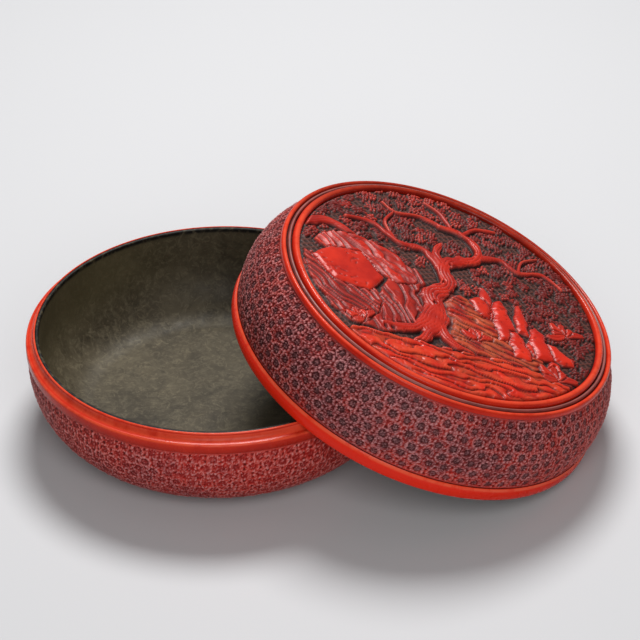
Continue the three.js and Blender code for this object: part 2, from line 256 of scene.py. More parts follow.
def revolve(profile):
    """Points and faces of a solid of revolution. The profile runs counter-clockwise in (radius, height)."""
    profile = np.array(profile, float)
    hollow = profile[0, 0] > 0
    ring = profile if hollow else profile[1:-1]
    turn = np.arange(SEGMENTS) * FULL_TURN / SEGMENTS
    points = np.stack([ring[:, :1] * np.cos(turn), ring[:, :1] * np.sin(turn),
                       np.repeat(ring[:, 1:], SEGMENTS, axis=1)], axis=2).reshape(-1, 3)
    faces = grid_faces(len(ring), SEGMENTS, hollow, True).tolist()
    if not hollow:
        first, last = len(points), len(points) + 1
        points = np.vstack([points, [[0, 0, profile[0, 1]], [0, 0, profile[-1, 1]]]])
        top = (len(ring) - 1) * SEGMENTS
        for i in range(SEGMENTS):
            after = (i + 1) % SEGMENTS
            faces.append([first, after, i])
            faces.append([top + i, top + after, last])
    return points, faces


def arc(centre, reach, start, end, steps):
    """Points of an arc, angles in degrees. The reach is a radius, or an ellipse's two."""
    wide, high = np.broadcast_to(reach, 2)
    turn = np.radians(np.linspace(start, end, steps))
    return [[centre[0] + wide * math.cos(t), centre[1] + high * math.sin(t)] for t in turn]


def base_wall(depth, steps):
    """The base's wall from the foot to the widest place, at a depth below the carved face."""
    reach = (WALL_RADIUS - FOOT_RADIUS - depth, BULGE_HEIGHT - FOOT_REVEAL - depth)
    return arc((FOOT_RADIUS, BULGE_HEIGHT), reach, -90, 0, steps)


def lid_wall(depth, steps):
    """The lid's wall from its band to the shoulder, at a depth below the carved face."""
    height = SHOULDER_HEIGHT - LID_WALL_BOTTOM
    bottom = WALL_RADIUS - depth
    a = np.array([bottom, LID_WALL_BOTTOM])
    b = np.array([bottom + LID_WALL_SWELL * 0.8, LID_WALL_BOTTOM + height * 0.27])
    c = np.array([bottom + LID_WALL_SWELL * 1.2, LID_WALL_BOTTOM + height * 0.6])
    d = np.array([SHOULDER_RADIUS - depth * SHOULDER_SLANT, SHOULDER_HEIGHT])
    t = np.linspace(0, 1, steps)[:, None]
    return (a * (1 - t) ** 3 + 3 * b * t * (1 - t) ** 2 + 3 * c * t ** 2 * (1 - t) + d * t ** 3).tolist()


def even_steps(profile, count):
    """The profile walked in even steps, with its outward normals and the distance walked."""
    profile = np.array(profile)
    walked = np.concatenate([[0], np.cumsum(np.linalg.norm(np.diff(profile, axis=0), axis=1))])
    marks = np.linspace(0, walked[-1], count)
    points = np.stack([np.interp(marks, walked, profile[:, k]) for k in (0, 1)], axis=1)
    slope = np.gradient(points, axis=0)
    slope /= np.linalg.norm(slope, axis=1, keepdims=True)
    return points, np.stack([slope[:, 1], -slope[:, 0]], axis=1), marks


# Materials

def srgb(red, green, blue):
    """A colour as read off a screen, as linear light."""
    def linear(value):
        value /= 255
        return value / 12.92 if value <= 0.04045 else ((value + 0.055) / 1.055) ** 2.4
    return (linear(red), linear(green), linear(blue), 1)


class Paint:
    """Builds one material's nodes. Colours are given as read off a screen, from 0 to 255."""

    def __init__(self, name, specular=0.5, coat=0.0, coat_roughness=0.1):
        self.material = bpy.data.materials.new(name)
        self.material.use_nodes = True
        self.tree = self.material.node_tree
        self.shader = self.tree.nodes["Principled BSDF"]
        self.set("Specular IOR Level", specular)
        self.set("Coat Weight", coat)
        self.set("Coat Roughness", coat_roughness)
        self.place = self.node("TexCoord", {}).outputs["Object"]
        self.colour = None

    def feed(self, socket, value):
        """Feeds a socket with a link, a colour, a number, or the name of a number that the mesh carries."""
        if isinstance(value, str):
            node = self.node("Attribute", {})
            node.attribute_name = value
            value = node.outputs["Fac"]
        if isinstance(value, bpy.types.NodeSocket):
            self.tree.links.new(value, socket)
        else:
            socket.default_value = srgb(*value) if socket.type == "RGBA" else value

    def set(self, key, value):
        self.feed(self.shader.inputs[key], value)

    def node(self, kind, values):
        """A new node with its sockets fed."""
        node = self.tree.nodes.new("ShaderNode" + kind)
        for key, value in values.items():
            self.feed(node.inputs[key], value)
        return node

    def noise(self, size, detail, rough, bend=0.0, stretch=None):
        """Noise whose patches are about size millimetres wide."""
        place = self.place
        if stretch:
            place = self.node("Mapping", {"Vector": place, "Scale": stretch}).outputs["Vector"]
        values = {"Vector": place, "Scale": 1 / (size * MM), "Detail": detail, "Roughness": rough}
        return self.node("TexNoise", {**values, "Distortion": bend}).outputs["Fac"]

    def cracks(self, size):
        """Distance to the nearest line of a net of cracks."""
        node = self.node("TexVoronoi", {"Vector": self.place, "Scale": 1 / (size * MM)})
        node.feature = "DISTANCE_TO_EDGE"
        return node.outputs["Distance"]

    def span(self, value, low, high, to_low=0.0, to_high=1.0):
        """A number carried from one span to another, and held at its ends."""
        values = {"Value": value, "From Min": low, "From Max": high, "To Min": to_low, "To Max": to_high}
        return self.node("MapRange", values).outputs["Result"]

    def patch(self, size, detail, rough, low, high, to_low=0.0, to_high=1.0, bend=0.0):
        """Noise, carried from one span to another."""
        return self.span(self.noise(size, detail, rough, bend), low, high, to_low, to_high)

    def plus(self, first, second, kind="ADD"):
        """Two numbers added, or put together in another way."""
        node = self.node("Math", {0: first, 1: second})
        node.operation = kind
        return node.outputs["Value"]

    def times(self, first, second):
        return self.plus(first, second, "MULTIPLY")

    def mix(self, share, first, second):
        """A share of the second colour laid over the first."""
        node = self.node("Mix", {"Factor": share})
        node.data_type = "RGBA"
        sockets = [socket for socket in node.inputs if socket.type == "RGBA"]
        self.feed(sockets[0], first)
        self.feed(sockets[1], second)
        return next(socket for socket in node.outputs if socket.type == "RGBA")

    def lay(self, share, colour):
        """Lays a share of a colour over what is painted so far."""
        self.colour = self.mix(share, self.colour, colour)

    def bump(self, height, strength, distance, under=None):
        """Fine relief, distance in millimetres."""
        values = {"Height": height, "Strength": strength, "Distance": distance * MM}
        if under:
            values["Normal"] = under
        return self.node("Bump", values).outputs["Normal"]

    def finish(self, roughness, normal):
        """The material, with the paint on its shader."""
        self.set("Base Color", self.colour)
        self.set("Roughness", roughness)
        self.set("Normal", normal)
        return self.material


def plain_red():
    """Smooth vermilion lacquer, uneven in depth, rubbed thin along its crests; painted highlights, shade and
    light.
    """
    paint = Paint("plain_red", specular=0.12, coat=0.03)
    paint.colour = paint.mix(paint.patch(26, 5, 0.6, 0.35, 0.68), (172, 27, 12), (202, 44, 21))
    # Painted light: tone brightens a piece that gets less lamp light.
    paint.lay("tone", (228, 40, 18))
    specks = paint.patch(1.1, 3, 0.7, 0.66, 0.78, 0, 0.35)
    paint.lay(specks, (104, 12, 8))
    # Lighter along the crests: wear, and painted highlights on the edges.
    wear_and_highlight = paint.times("crest", paint.patch(7, 5, 0.65, 0.25, 0.5))
    paint.lay(paint.times(wear_and_highlight, 0.6), (228, 88, 58))
    shade = paint.times("painted_shade", paint.patch(5, 4, 0.6, 0.2, 0.6, 0.6, 0.95))
    paint.lay(shade, (58, 8, 6))
    roughness = paint.patch(9, 5, 0.65, 0.3, 0.7, 0.2, 0.32)
    fine = paint.bump(paint.noise(0.7, 4, 0.6), 0.06, 0.05)
    return paint.finish(roughness, paint.bump(paint.noise(12, 3, 0.5), 0.2, 0.25, fine))


def carved_red():
    """Carved walls: mauve ridges on dark red, grey-brown in the hearts, pale dusty specks that are painted
    glints as well, painted highlights on the ridges, and painted shade in the hollows and towards the sides.
    """
    paint = Paint("carved_red", specular=0.14)
    red = paint.plus("tone", paint.patch(15, 5, 0.62, 0.38, 0.66, -0.3, 0.35))
    low = paint.mix(red, (98, 26, 27), (174, 22, 12))
    high = paint.mix(red, (142, 80, 84), (190, 78, 68))
    paint.colour = paint.mix(paint.span("raised", 0.2, 0.85), low, high)
    grain = paint.noise(0.9, 4, 0.75)
    # Pale dusty specks on the raised parts, which are painted glints as well.
    pale_specks = paint.times(paint.span("raised", 0.4, 0.9), paint.span(grain, 0.46, 0.64, 0.0, 0.8))
    pale_specks = paint.times(pale_specks, paint.span(red, 0.3, 1.1, 1.0, 0.45))
    paint.lay(pale_specks, (196, 138, 140))
    core = paint.mix(paint.span(grain, 0.42, 0.6), (58, 27, 29), (126, 88, 92))
    paint.lay("heart", core)
    # Painted shade in the hollows and towards the sides, and painted highlights on the ridges.
    paint.lay(paint.span("painted_shade", 0.1, 0.9, 0, 0.85), (42, 6, 6))
    paint.lay(paint.span("crest", 0.2, 0.9, 0, 0.6), (214, 152, 150))
    return paint.finish(paint.span("raised", 0.3, 0.95, 0.55, 0.34), paint.bump(grain, 0.5, 0.2))


def picture_red():
    """The picture: polished vermilion on the high parts, dull brown lozenges on the ground, near black in
    their lowest cuts, painted shade on the low parts and in the hollows, and painted highlights on the
    crests.
    """
    paint = Paint("picture_red", specular=0.27, coat=0.04, coat_roughness=0.2)
    cloud = paint.patch(14, 5, 0.6, 0.35, 0.66)
    bright = paint.mix(cloud, (174, 27, 13), (208, 44, 22))
    dusky = paint.mix(cloud, (78, 13, 11), (110, 23, 18))
    red = paint.mix("tone", dusky, bright)
    # Painted shade: the lower levels of the relief are darker.
    red = paint.mix(paint.span("raised", 0.25, 0.85, 0.65, 0), red, (92, 12, 9))
    gilt = paint.times("warm", paint.patch(8, 4, 0.6, 0.42, 0.62))
    red = paint.mix(gilt, red, (206, 112, 66))
    ground = paint.mix(paint.span("raised", 0.05, 0.15), (14, 4, 3), (80, 42, 34))
    paint.colour = paint.mix(paint.span("raised", 0.15, 0.3), ground, red)
    # Painted shade in the hollows.
    hollow = paint.mix("tone", (22, 6, 5), (112, 10, 5))
    paint.lay(paint.span("painted_shade", 0.05, 0.45, 0, 0.92), hollow)
    # Painted highlights on the crests.
    crest = paint.span("crest", 0.25, 0.9, 0, 0.35)
    paint.lay(paint.times(crest, paint.span("tone", 0.1, 0.6, 0.2, 1.0)), (228, 92, 68))
    # Pale dusty specks, most in the low parts.
    pale_specks = paint.times(paint.patch(1.0, 4, 0.7, 0.54, 0.72), paint.span("raised", 0.2, 0.9, 0.2, 0.05))
    paint.lay(pale_specks, (150, 84, 80))
    roughness = paint.span("tone", 0.3, 0.8, 0.6, 0.36)
    return paint.finish(roughness, paint.bump(paint.noise(0.8, 3, 0.6), 0.12, 0.1))


def dark_lining():
    """Aged olive-brown lacquer, clouded and stained, with faint marks of the brush, and painted shade and
    light.
    """
    paint = Paint("dark_lining", specular=0.18)
    paint.colour = paint.mix(paint.patch(30, 7, 0.7, 0.34, 0.64, bend=0.6), (50, 44, 33), (79, 71, 55))
    swirl = paint.patch(11, 6, 0.68, 0.48, 0.7, 0, 0.5, bend=2.2)
    paint.lay(swirl, (98, 90, 72))
    stain = paint.patch(6, 6, 0.75, 0.54, 0.7, 0, 0.55, bend=0.8)
    paint.lay(stain, (46, 41, 31))
    stroke = paint.patch(4, 5, 0.7, 0.5, 0.66, 0, 0.35, bend=1.6)
    paint.lay(stroke, (120, 110, 88))
    # Painted shade higher up the wall, and painted light on the base bowl's left wall (tone).
    paint.lay("painted_shade", (34, 29, 23))
    paint.lay("tone", (96, 87, 60))
    edge = paint.times("crest", paint.patch(3, 5, 0.7, 0.36, 0.5, 0.35, 1.0))
    paint.lay(edge, (18, 16, 14))
    roughness = paint.patch(8, 5, 0.65, 0.3, 0.7, 0.44, 0.6)
    fine = paint.bump(paint.noise(0.8, 4, 0.6), 0.08, 0.06)
    return paint.finish(roughness, paint.bump(paint.noise(9, 4, 0.5), 0.25, 0.3, fine))


def dark_foot():
    """Blackened lacquer of the foot and underside, crackled and rubbed where it stands."""
    paint = Paint("dark_foot", coat=0.05, coat_roughness=0.3)
    paint.colour = paint.mix(paint.patch(16, 6, 0.62, 0.36, 0.66), (30, 25, 22), (58, 46, 38))
    rubbed = paint.times("crest", paint.patch(4, 5, 0.7, 0.42, 0.58))
    paint.lay(paint.times(rubbed, 0.7), (112, 74, 52))
    cracks = paint.cracks(6)
    paint.lay(paint.times(paint.span(cracks, 0.0, 0.035, 1.0, 0.0), 0.6), (14, 11, 10))
    roughness = paint.patch(6, 5, 0.65, 0.3, 0.7, 0.36, 0.58)
    fine = paint.bump(paint.noise(0.8, 4, 0.6), 0.12, 0.08)
    return paint.finish(roughness, paint.bump(cracks, 0.12, 0.1, fine))


def ground_brown():
    """The dull brown moulding between the two beads of the lid."""
    paint = Paint("ground_brown", coat=0.05)
    paint.colour = paint.mix(paint.patch(9, 5, 0.62, 0.36, 0.64), (96, 40, 35), (134, 60, 52))
    # Painted shade at the moulding's foot on both sides, and a painted highlight along its top.
    paint.lay("painted_shade", (62, 7, 4))
    paint.lay(paint.times("crest", 0.5), (164, 98, 92))
    roughness = paint.patch(4, 4, 0.6, 0.3, 0.7, 0.4, 0.6)
    return paint.finish(roughness, paint.bump(paint.noise(0.8, 4, 0.6), 0.2, 0.12))


def core_wood():
    """Bare turned wood of the two cores."""
    paint = Paint("core_wood")
    ring = paint.noise(1.4, 5, 0.6, 0.4, (1, 0.08, 1))
    paint.colour = paint.mix(paint.span(ring, 0.35, 0.68), (146, 108, 68), (190, 152, 106))
    pore = paint.noise(0.5, 3, 0.6, 0.0, (1, 0.05, 1))
    paint.lay(paint.span(pore, 0.62, 0.74, 0, 0.5), (98, 68, 42))
    return paint.finish(paint.span(ring, 0.3, 0.7, 0.62, 0.78), paint.bump(pore, 0.2, 0.1))


# Carved walls

def nearest_flowers(across, up, seed):
    """Distances to the three nearest flowers, and the angle round the nearest one and its luck."""
    rows = 64
    jitter = np.random.default_rng(seed).uniform(-1, 1, (CELLS_ROUND, rows, 3))
    dx, dy, luck = [], [], []
    for step, side in np.ndindex(4, 4):
        row = np.floor(up / ROW_PITCH).astype(int) + step - 1
        shift = 0.5 * (row % 2)
        column = np.floor(across - shift).astype(int) + side - 1
        chance = jitter[column % CELLS_ROUND, row % rows]
        dx.append(across - (column + shift + JITTER * chance[..., 0]))
        dy.append(up - (row * ROW_PITCH + JITTER * chance[..., 1]))
        luck.append(chance[..., 2])
    distance, angle = np.hypot(dx, dy), np.arctan2(dy, dx)
    best = distance.argmin(0)[None]
    angle, luck = (np.take_along_axis(np.array(values), best, 0)[0] for values in (angle, luck))
    return *np.sort(distance, axis=0)[:3], angle, luck


def rosettes(across, up, seed):
    """Height from 0 to 1 of close-set flowers, and where hearts, dark cuts, seams and fields are."""
    first, second, third, angle, luck = nearest_flowers(across, up, seed)
    past = first - HEART_RADIUS * (1 + 0.12 * luck)
    edge = smooth(-0.02, 0.03, past)
    outline = bell(past, 0.034)
    ribs = 0.5 + 0.5 * np.cos(angle * 9 + luck * 6)
    rim = bell(first - RIM_RADIUS, 0.07) * (0.7 + 0.3 * ribs)
    collar = bell(past - 0.065, 0.035)
    petal = 0.32 + 0.3 * smooth(0.3, 0.8, ribs)
    gap = bell(second - first, 0.06)
    pit = bell(third - first, 0.12)
    outside = np.maximum(np.maximum(petal, 0.9 * rim), 0.7 * collar) * (1 - 0.3 * gap) + 0.1 * luck
    core = 0.3 + 0.3 * np.cos(angle * 5 + luck * 4) * smooth(0.03, 0.12, first) + 0.08 * luck
    height = (outside * (1 - 0.7 * pit) * edge + core * (1 - edge)) * (1 - 0.8 * outline)
    seam = edge * (0.75 * pit + 0.15 * gap)
    return height, 1 - smooth(-0.04, 0.01, past), outline, seam, smooth(0.36, 0.5, first)


def wall_relief(face, walked, turn, seed, redness, greyness):
    """The numbers that a wall's face carries; raised is its height from 0 to 1."""
    cell = FULL_TURN * face[:, 0] / CELLS_ROUND
    up = np.concatenate([[0], np.cumsum(np.diff(walked) * 2 / (cell[1:] + cell[:-1]))])
    across, up = np.meshgrid(np.arange(len(turn)) / CELL_COLUMNS, up + 0.35)
    rng = np.random.default_rng(seed)
    nudge_across, nudge_up, chip, speckle = (rng.random(up.shape) - 0.5 for _ in range(4))
    raised, heart, outline, seam, field = rosettes(across + 0.08 * nudge_across, up + 0.08 * nudge_up, seed)
    raised = np.clip(raised + 0.38 * chip, 0, 1)
    facing = np.cos(turn)
    wander = face[:, :1] * facing + face[:, 1:], face[:, :1] * np.sin(turn) - face[:, 1:]
    field = field * smooth(0.35, 0.75, patchy(*wander, 7.0, seed))
    border = smooth(0.4, 1.2, np.minimum(walked, walked[-1] - walked)[:, None])
    raised = raised * border + 0.5 * (1 - border)
    # The tone is redder towards the left and right sides as seen from the front, most on the right (ends).
    ends = np.where(facing > 0, 0.85, 0.45) * facing ** 2
    tone = redness(walked / walked[-1])[:, None] + ends + 0.6 * (field - 0.15) + 0.5 * speckle + 0.9 * seam
    # Painted shade in the hearts' outlines and the pits between flowers, and in the hollows (near, wide).
    shade = (0.6 * (0.15 + 0.85 * greyness) * outline + seam) * border
    # Painted shade towards the left and right sides as seen from the front, most on the left (dim).
    dim = 0.6 * np.maximum(-facing, 0) + 0.3 * np.maximum(facing, 0)
    near, wide = (blurred(raised, reach, (False, True)) - raised for reach in (2, 8))
    return {
        "raised": raised,
        "heart": heart * border * greyness * (0.85 + 0.3 * speckle),
        "tone": tone,
        "painted_shade": np.clip(shade + near * 0.8 + wide * 0.3 + dim, 0, 1),
        # Painted highlight on the ridges.
        "crest": np.clip(-near * 2.0, 0, 1),
    }


def wall_map(piece, rows, columns, sectors):
    """The wall's map: strips of it, one above another, with narrow gaps between them."""
    row, column = np.indices((rows, columns)).reshape(2, -1)
    width = columns // sectors
    strip = column // width
    left, low = (column % width) / width, row / rows
    corners = [(left + a / width * 0.998, (strip + (low + b / rows) * 0.995) / sectors)
               for a, b in ((0, 0), (1, 0), (1, 1), (0, 1))]
    bake_map(piece, np.stack([np.stack(corner, axis=1) for corner in corners], axis=1))


def carved_wall(name, body, node, material, profile, back, seed, sectors, redness, greyness):
    """A wall whose face is carved down from the profile, with a plain back."""
    columns = CELLS_ROUND * CELL_COLUMNS
    turn = np.arange(columns) * FULL_TURN / columns
    face, normal, walked = even_steps(profile, WALL_ROWS)
    values = wall_relief(face, walked, turn, seed, redness, greyness)
    depth = SINK + CUT * (1 - values["raised"])
    back = np.array(back)
    radius = np.vstack([face[:, :1] - normal[:, :1] * depth, np.repeat(back[:, :1], columns, axis=1)])
    height = np.vstack([face[:, 1:] - normal[:, 1:] * depth, np.repeat(back[:, 1:], columns, axis=1)])
    points = np.stack([radius * np.cos(turn), radius * np.sin(turn), height], axis=2).reshape(-1, 3)
    for key, numbers in values.items():
        # The plain back gets half painted shade, and zero for its other numbers.
        plain = np.full((len(back), columns), 0.5 if key == "painted_shade" else 0.0)
        values[key] = np.vstack([numbers, plain])
    faces = grid_faces(len(radius), columns, True, True).tolist()
    piece = add_piece(name, body, [node], material, points, faces, values)
    wall_map(piece, len(radius), columns, sectors)


def make_base_wall(material):
    profile = base_wall(0, 60) + [[WALL_RADIUS, BAND_BOTTOM - 0.05]]
    back = [[WALL_RADIUS - CARVED_COAT, BAND_BOTTOM - 0.05]] + base_wall(CARVED_COAT, 6)[::-1]
    carved_wall("base_wall_carving", "base", "base_side_lacquer", material, profile, back, seed=5, sectors=3,
                redness=lambda share: 0.75 + 0.25 * smooth(0.7, 1, share), greyness=0.2)


def make_lid_wall(material):
    profile = [[WALL_RADIUS, LID_BAND_HEIGHT + 0.05]] + lid_wall(0, 60)
    back = lid_wall(CARVED_COAT, 6)[::-1]
    carved_wall("lid_wall_carving", "lid", "lid_side_lacquer", material, profile, back, seed=8, sectors=4,
                redness=lambda share: 0.15 + 0.6 * smooth(0.25, 0, share) + 0.25 * smooth(0.85, 1, share),
                greyness=0.9)


# Turned pieces

def by_height(low, high, most=1.0):
    """A value for a turned piece that goes from 0 at one height to its most at another."""
    return lambda radius, height: most * smooth(low, high, height)


def turned(name, body, node, material, profile, crest=None, painted_shade=None, tone=None, far=0.0):
    """A turned piece. crest marks its crests for wear, dark edges and painted highlights, painted_shade
    gives its painted shade, tone its painted light, and far paints shade on the side away from the front."""
    points, faces = revolve(profile)
    x, y, height = points.T
    radius = np.hypot(x, y)
    plain = np.zeros(len(points))
    values = {
        "crest": crest(radius, height) if crest else plain,
        "painted_shade": np.maximum(painted_shade(radius, height) if painted_shade else plain, far * smooth(5, 65, y)),
        "tone": tone(x, height) if tone else plain,
    }
    add_piece(name, body, [node], material, points, faces, values, SHARP_DEGREES)


def make_base_band(material):
    """The collar under the mouth: rounded face, and a cove from its edge up to the flange."""
    heel, edge, cove = 0.5, 1.1, 2.9
    inner, back = FLANGE_RADIUS + 0.05, WALL_RADIUS - CARVED_COAT
    profile = [[back, BAND_BOTTOM]]
    profile += arc((WALL_RADIUS - heel, BAND_BOTTOM + heel), heel, -90, 0, 5)
    profile += arc((WALL_RADIUS - edge, SEAT_HEIGHT - edge), edge, 0, 90, 9)
    profile += arc((inner + cove, SEAT_HEIGHT + cove), cove, 270, 180, 7)
    profile += [[inner, SEAT_HEIGHT - LEDGE_COAT], [back, SEAT_HEIGHT - LEDGE_COAT]]

    def crest(radius, height):
        # Wear and a painted highlight along the collar's edge, and painted light over the cove up to the
        # flange.
        edge_wear_and_highlight = smooth(0.9, 0.2, np.abs(height - SEAT_HEIGHT + 0.35)) * (radius > WALL_RADIUS - 1.4)
        return np.maximum(edge_wear_and_highlight, 0.8 * smooth(WALL_RADIUS - 1.2, WALL_RADIUS - 2.2, radius))

    # Painted shade at the collar's foot, against the wall.
    turned("base_rim_collar", "base", "base_rim_band", material, profile, crest,
           by_height(BAND_BOTTOM + 1.4, BAND_BOTTOM, 0.6))


def make_base_flange(material):
    """The upright lip that the lid closes over, lower on its inner side, where the lining laps over it."""
    half = (FLANGE_RADIUS - FLANGE_INSIDE) / 2
    profile = [[FLANGE_INSIDE, FLANGE_BOTTOM], [FLANGE_RADIUS, FLANGE_BOTTOM]]
    profile += arc((FLANGE_RADIUS - half, FLANGE_CREST - half), half, 0, 100, 11)
    profile += [[FLANGE_INSIDE + half * 0.7, FLANGE_CREST - 0.5], [FLANGE_INSIDE, FLANGE_CREST - 0.9]]
    # Wear and a painted highlight along the lip's crest.
    turned("base_lip", "base", "base_mouth_flange", material, profile,
           by_height(FLANGE_CREST - 0.7, FLANGE_CREST - 0.1))


def make_base_lining(material):
    """The dark bowl, lapped over the inner half of the flange."""
    top = FLANGE_CREST - 0.08
    back = base_wall(LINING_BACK + 0.02, 24)
    face = base_wall(LINING_FACE, 40)[::-1]
    out, inside = WALL_RADIUS - LINING_BACK - 0.02, WALL_RADIUS - LINING_FACE
    lap = CREST_RADIUS - 0.05
    under = [[out, FLANGE_CREST - 0.8], [lap - 0.3, FLANGE_CREST - 0.4]]
    half = (lap - inside) / 2
    crown = arc(((lap + inside) / 2, top - half * 0.7), (half, half * 0.7), 0, 180, 13)
    steps = [[inside, height] for height in np.linspace(top - half - 0.6, BULGE_HEIGHT + 1, 12)]
    floor = [[radius, face[-1][1]] for radius in np.linspace(FOOT_RADIUS - 2, 4, 24)]
    profile = [[0, back[0][1]]] + back + under + crown + steps + face + floor + [[0, face[-1][1]]]
    # The lip's dark edge, painted shade higher up the wall, and painted light on the left wall.
    turned("base_bowl_lining", "base", "base_lining", material, profile,
           by_height(top - 3.0, top - 1.4), by_height(12, 40, 0.1),
           lambda x, height: 0.55 * smooth(20, 75, -x) * smooth(14, 40, height))


def make_base_foot(material):
    edge = 0.5
    profile = arc((FOOT_INNER + edge, edge), edge, 180, 270, 6)
    profile += arc((FOOT_OUTER - edge, edge), edge, 270, 360, 6)
    profile += [[FOOT_OUTER, FOOT_TOP + BOND], [FOOT_INNER, FOOT_TOP + BOND]]
    turned("base_foot", "base", "base_foot_ring", material, profile, by_height(edge, 0))


def make_base_underside(material):
    outer = FOOT_INNER - 0.02
    rings = [[radius, UNDERSIDE_DEPTH] for radius in np.linspace(3, outer - 0.8, 20)]
    cove = arc((outer - 0.6, UNDERSIDE_DEPTH + 0.02), (0.58, 0.02), -90, 0, 3)
    profile = [[0, UNDERSIDE_DEPTH]] + rings + cove + [[outer, FOOT_TOP], [0, FOOT_TOP]]
    turned("base_underside", "base", "base_underside_lacquer", material, profile)


def make_lid_band(material):
    """The plain swelling band round the lid's mouth, turned in under its lip."""
    inner, middle, lip = WALL_RADIUS - LID_BAND_COAT, LID_BAND_HEIGHT / 2, 0.5
    profile = [[LID_MOUTH, 0]] + arc((LID_RIM_RADIUS - lip, lip), lip, -90, -30, 5)
    profile += arc((WALL_RADIUS - 1.1, middle), (1.1 + LID_BAND_SWELL, middle), -62, 72, 19)
    profile += [[WALL_RADIUS - 0.5, LID_BAND_HEIGHT], [inner, LID_BAND_HEIGHT]]
    profile += [[inner, LID_LIP_COAT], [LID_MOUTH, LID_LIP_COAT]]

    def crest(radius, height):
        # A painted highlight line along the upper edge, and wear along the lower edge.
        upper_edge = np.abs(height - LID_BAND_HEIGHT + 0.9)
        return smooth(0.8, 0.2, height) * 0.8 + 1.5 * smooth(1.2, 0.2, upper_edge)

    # Painted shade where the band meets the wall, and painted light over the whole band.
    turned("lid_rim_collar", "lid", "lid_rim_band", material, profile, crest,
           by_height(LID_BAND_HEIGHT - 0.4, LID_BAND_HEIGHT), lambda x, height: np.full(x.shape, 0.75))


def lid_inside(depth, ceiling, steps):
    """The lid's wall from inside, with a cove up to the ceiling."""
    wall = [point for point in lid_wall(depth, steps) if point[1] < ceiling - CEILING_COVE]
    last = wall[-1]
    return wall + arc((last[0] - CEILING_COVE, last[1]), (CEILING_COVE, ceiling - last[1]), 8, 90, 10)


def make_lid_lining(material):
    bottom, ceiling = MOUTH_REBATE + BOND, LID_CEILING - LINING_COAT
    face = lid_inside(LINING_FACE, ceiling, 40)[::-1]
    profile = [[0, ceiling]] + [[radius, ceiling] for radius in np.linspace(4, face[0][0] - 2, 24)] + face
    profile += [[WALL_RADIUS - LINING_FACE, bottom], [WALL_RADIUS - LINING_BACK, bottom]]
    profile += lid_inside(LINING_BACK, LID_CEILING, 24) + [[0, LID_CEILING]]
    turned("lid_bowl_lining", "lid", "lid_lining", material, profile)


def make_lid_bead(name, node, material, inner, outer, seat, top, far):
    """A rounded moulding with a flat foot: wear and a painted highlight on its top, painted shade on its far
    side.
    """
    bottom, height = seat - BOND, top - seat + BOND
    middle, half = (inner + outer) / 2, (outer - inner) / 2
    profile = [[inner, bottom], [outer, bottom]]
    profile += arc((middle, bottom + height * 0.35), (half, height * 0.65), 0, 180, 17)
    turned(name, "lid", node, material, profile, by_height(top - 0.8, top, 0.8), far=far)


def make_lid_beads(material):
    make_lid_bead("lid_outer_bead", "lid_shoulder_bead", material, SHOULDER_BEAD_INNER, SHOULDER_RADIUS,
                  TOP_SEAT, TOP_SEAT + SHOULDER_BEAD_HEIGHT - 0.1, 0.6)
    make_lid_bead("lid_inner_bead", "lid_panel_bead", material, PANEL_BEAD_INNER, PANEL_BEAD_OUTER,
                  RELIEF_SEAT, RELIEF_SEAT + PANEL_BEAD_HEIGHT - 0.15, 0.75)


def make_lid_ground(material):
    """The ground coat, with a low brown ridge in the groove between the beads."""
    floor = TOP_SEAT + 0.4
    outer, inner = SHOULDER_BEAD_INNER - 0.02, PANEL_BEAD_OUTER + 0.02
    middle, half = (outer + inner) / 2, (outer - inner) / 2
    profile = [[0, TOP_SEAT], [outer, TOP_SEAT], [outer, floor]]
    profile += arc((middle, floor), (half * 0.8, TOP_SEAT + RIDGE_HEIGHT - floor), 0, 180, 15)
    profile += [[inner, floor], [inner - 0.1, floor + 0.1], [inner - 0.3, GROUND_TOP], [0, GROUND_TOP]]
    # Painted highlight along the ridge's top, and painted shade at its foot on both sides.
    turned("lid_groove_moulding", "lid", "lid_top_ground", material, profile,
           lambda radius, height: smooth(half * 0.4, 0.0, np.abs(radius - middle)),
           lambda radius, height: smooth(half * 0.5, half * 0.85, np.abs(radius - middle)))


# The picture. Its places, lengths and widths are in hundredths of its radius.

def spread(places):
    """Places of the picture in millimetres."""
    return np.array(places) / 100 * PICTURE_RADIUS


def nearest(x, y, line):
    """Distance of points to a line, share along it and side of it."""
    best = np.full(x.shape, 1e9)
    share, side = np.zeros(x.shape), np.zeros(x.shape)
    for i, (a, b) in enumerate(zip(line[:-1], line[1:])):
        step = b - a
        along = np.clip(((x - a[0]) * step[0] + (y - a[1]) * step[1]) / (step @ step + 1e-9), 0, 1)
        dx, dy = x - a[0] - step[0] * along, y - a[1] - step[1] * along
        distance = np.hypot(dx, dy)
        closer = distance < best
        best = np.where(closer, distance, best)
        share = np.where(closer, (i + along) / (len(line) - 1), share)
        side = np.where(closer, np.sign(step[0] * dy - step[1] * dx), side)
    return best, share, side


def depth_inside(x, y, outline):
    """Distance of points into a closed outline, negative outside it."""
    ring = np.vstack([outline, outline[:1]])
    within = np.zeros(x.shape, bool)
    for a, b in zip(ring[:-1], ring[1:]):
        crosses = (a[1] > y) != (b[1] > y)
        rise = b[1] - a[1] if b[1] != a[1] else 1e-9
        within ^= crosses & (x < (b[0] - a[0]) * (y - a[1]) / rise + a[0])
    distance = nearest(x, y, ring)[0]
    return np.where(within, distance, -distance)


